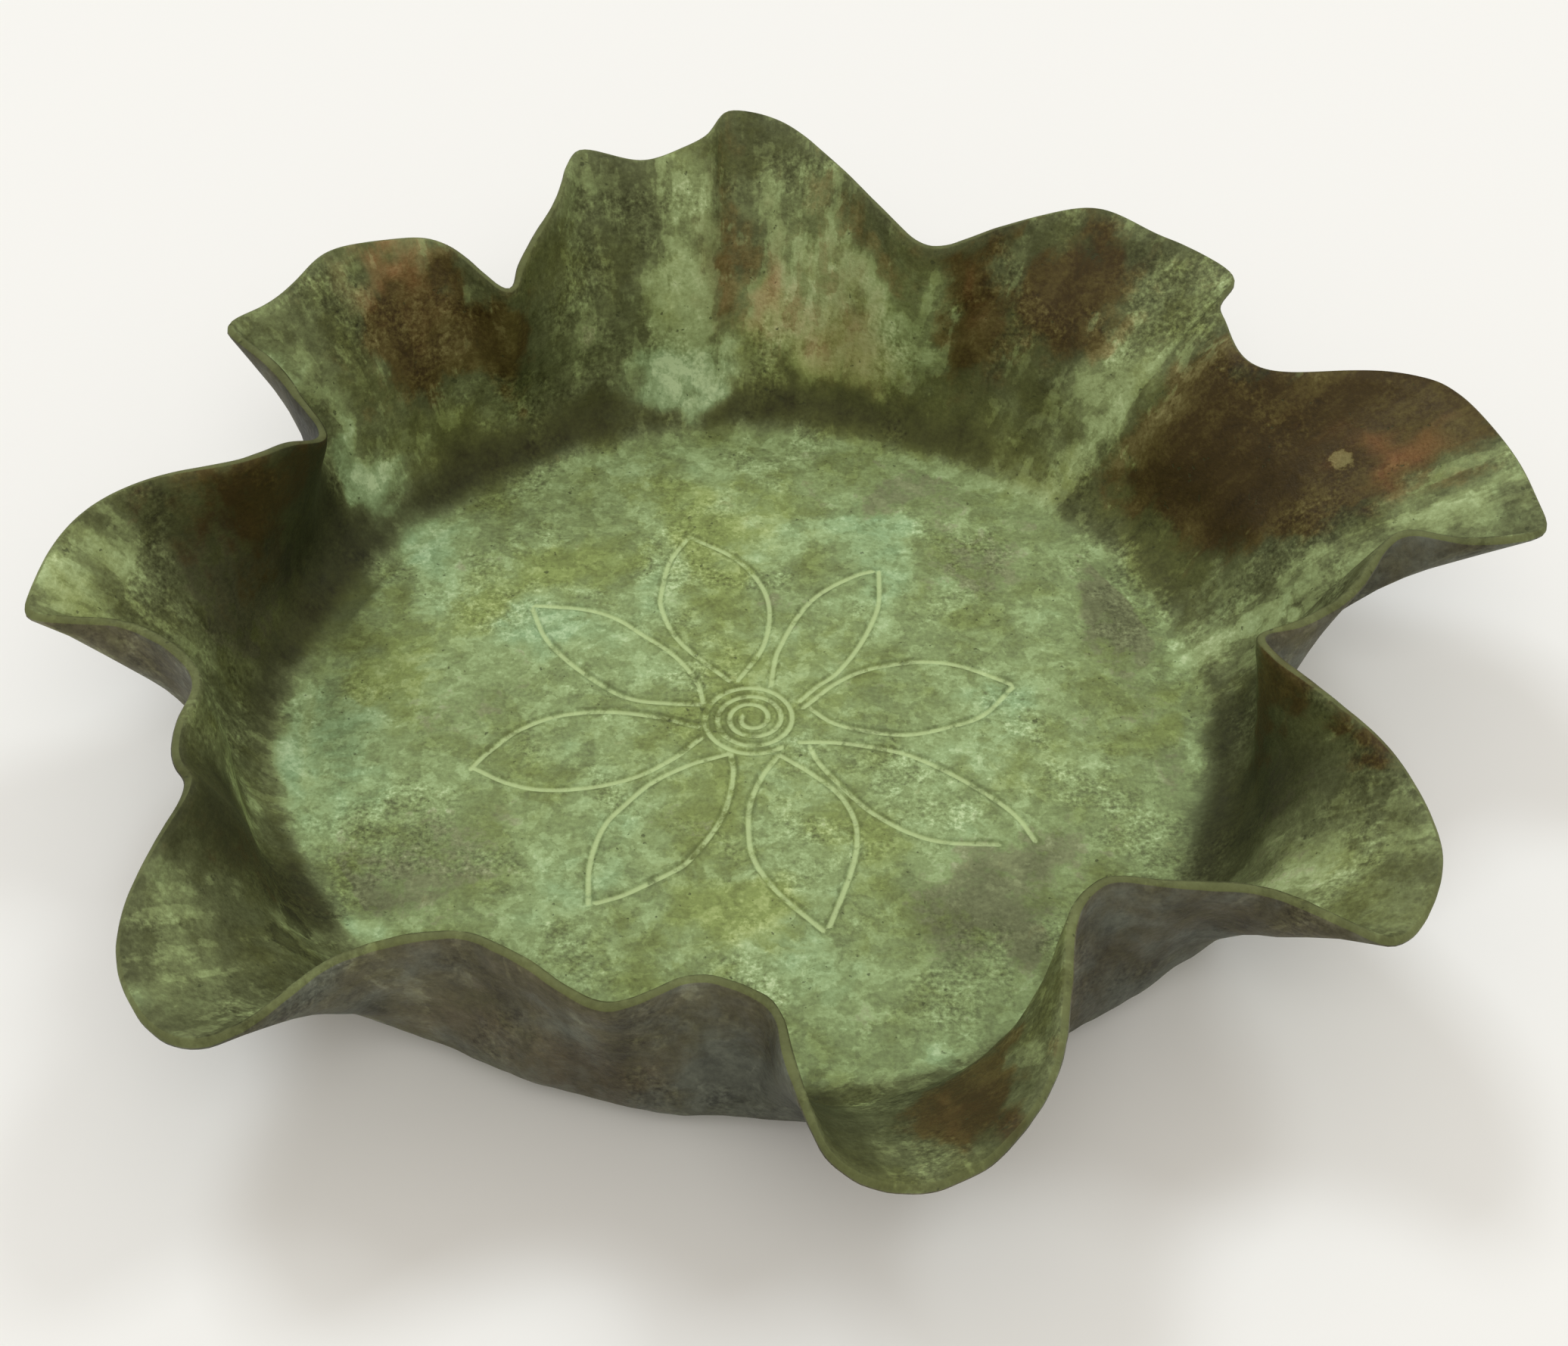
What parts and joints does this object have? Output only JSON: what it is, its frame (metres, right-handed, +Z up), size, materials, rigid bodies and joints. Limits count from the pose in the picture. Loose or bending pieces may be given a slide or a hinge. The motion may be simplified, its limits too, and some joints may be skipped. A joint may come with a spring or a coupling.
{
  "type": "fluted copper bowl",
  "caption": "Shallow dish hand-raised from one copper sheet: flat round floor with a chased flower, and a flared wall fluted into uneven lobes.",
  "frame": {"origin": "middle of the floor's flat underside, on the surface that the bowl stands on", "axes": "+Z up out of the bowl; +Y towards the tallest lobe, which has two corners; +X towards the widest lobe"},
  "size_m": [0.1448, 0.1406, 0.03],
  "materials": {
    "patinated_copper": "copper with a matt green and brown patina"
  },
  "bodies": {
    "root": {"bowl": "patinated_copper"}
  },
  "joints": []
}
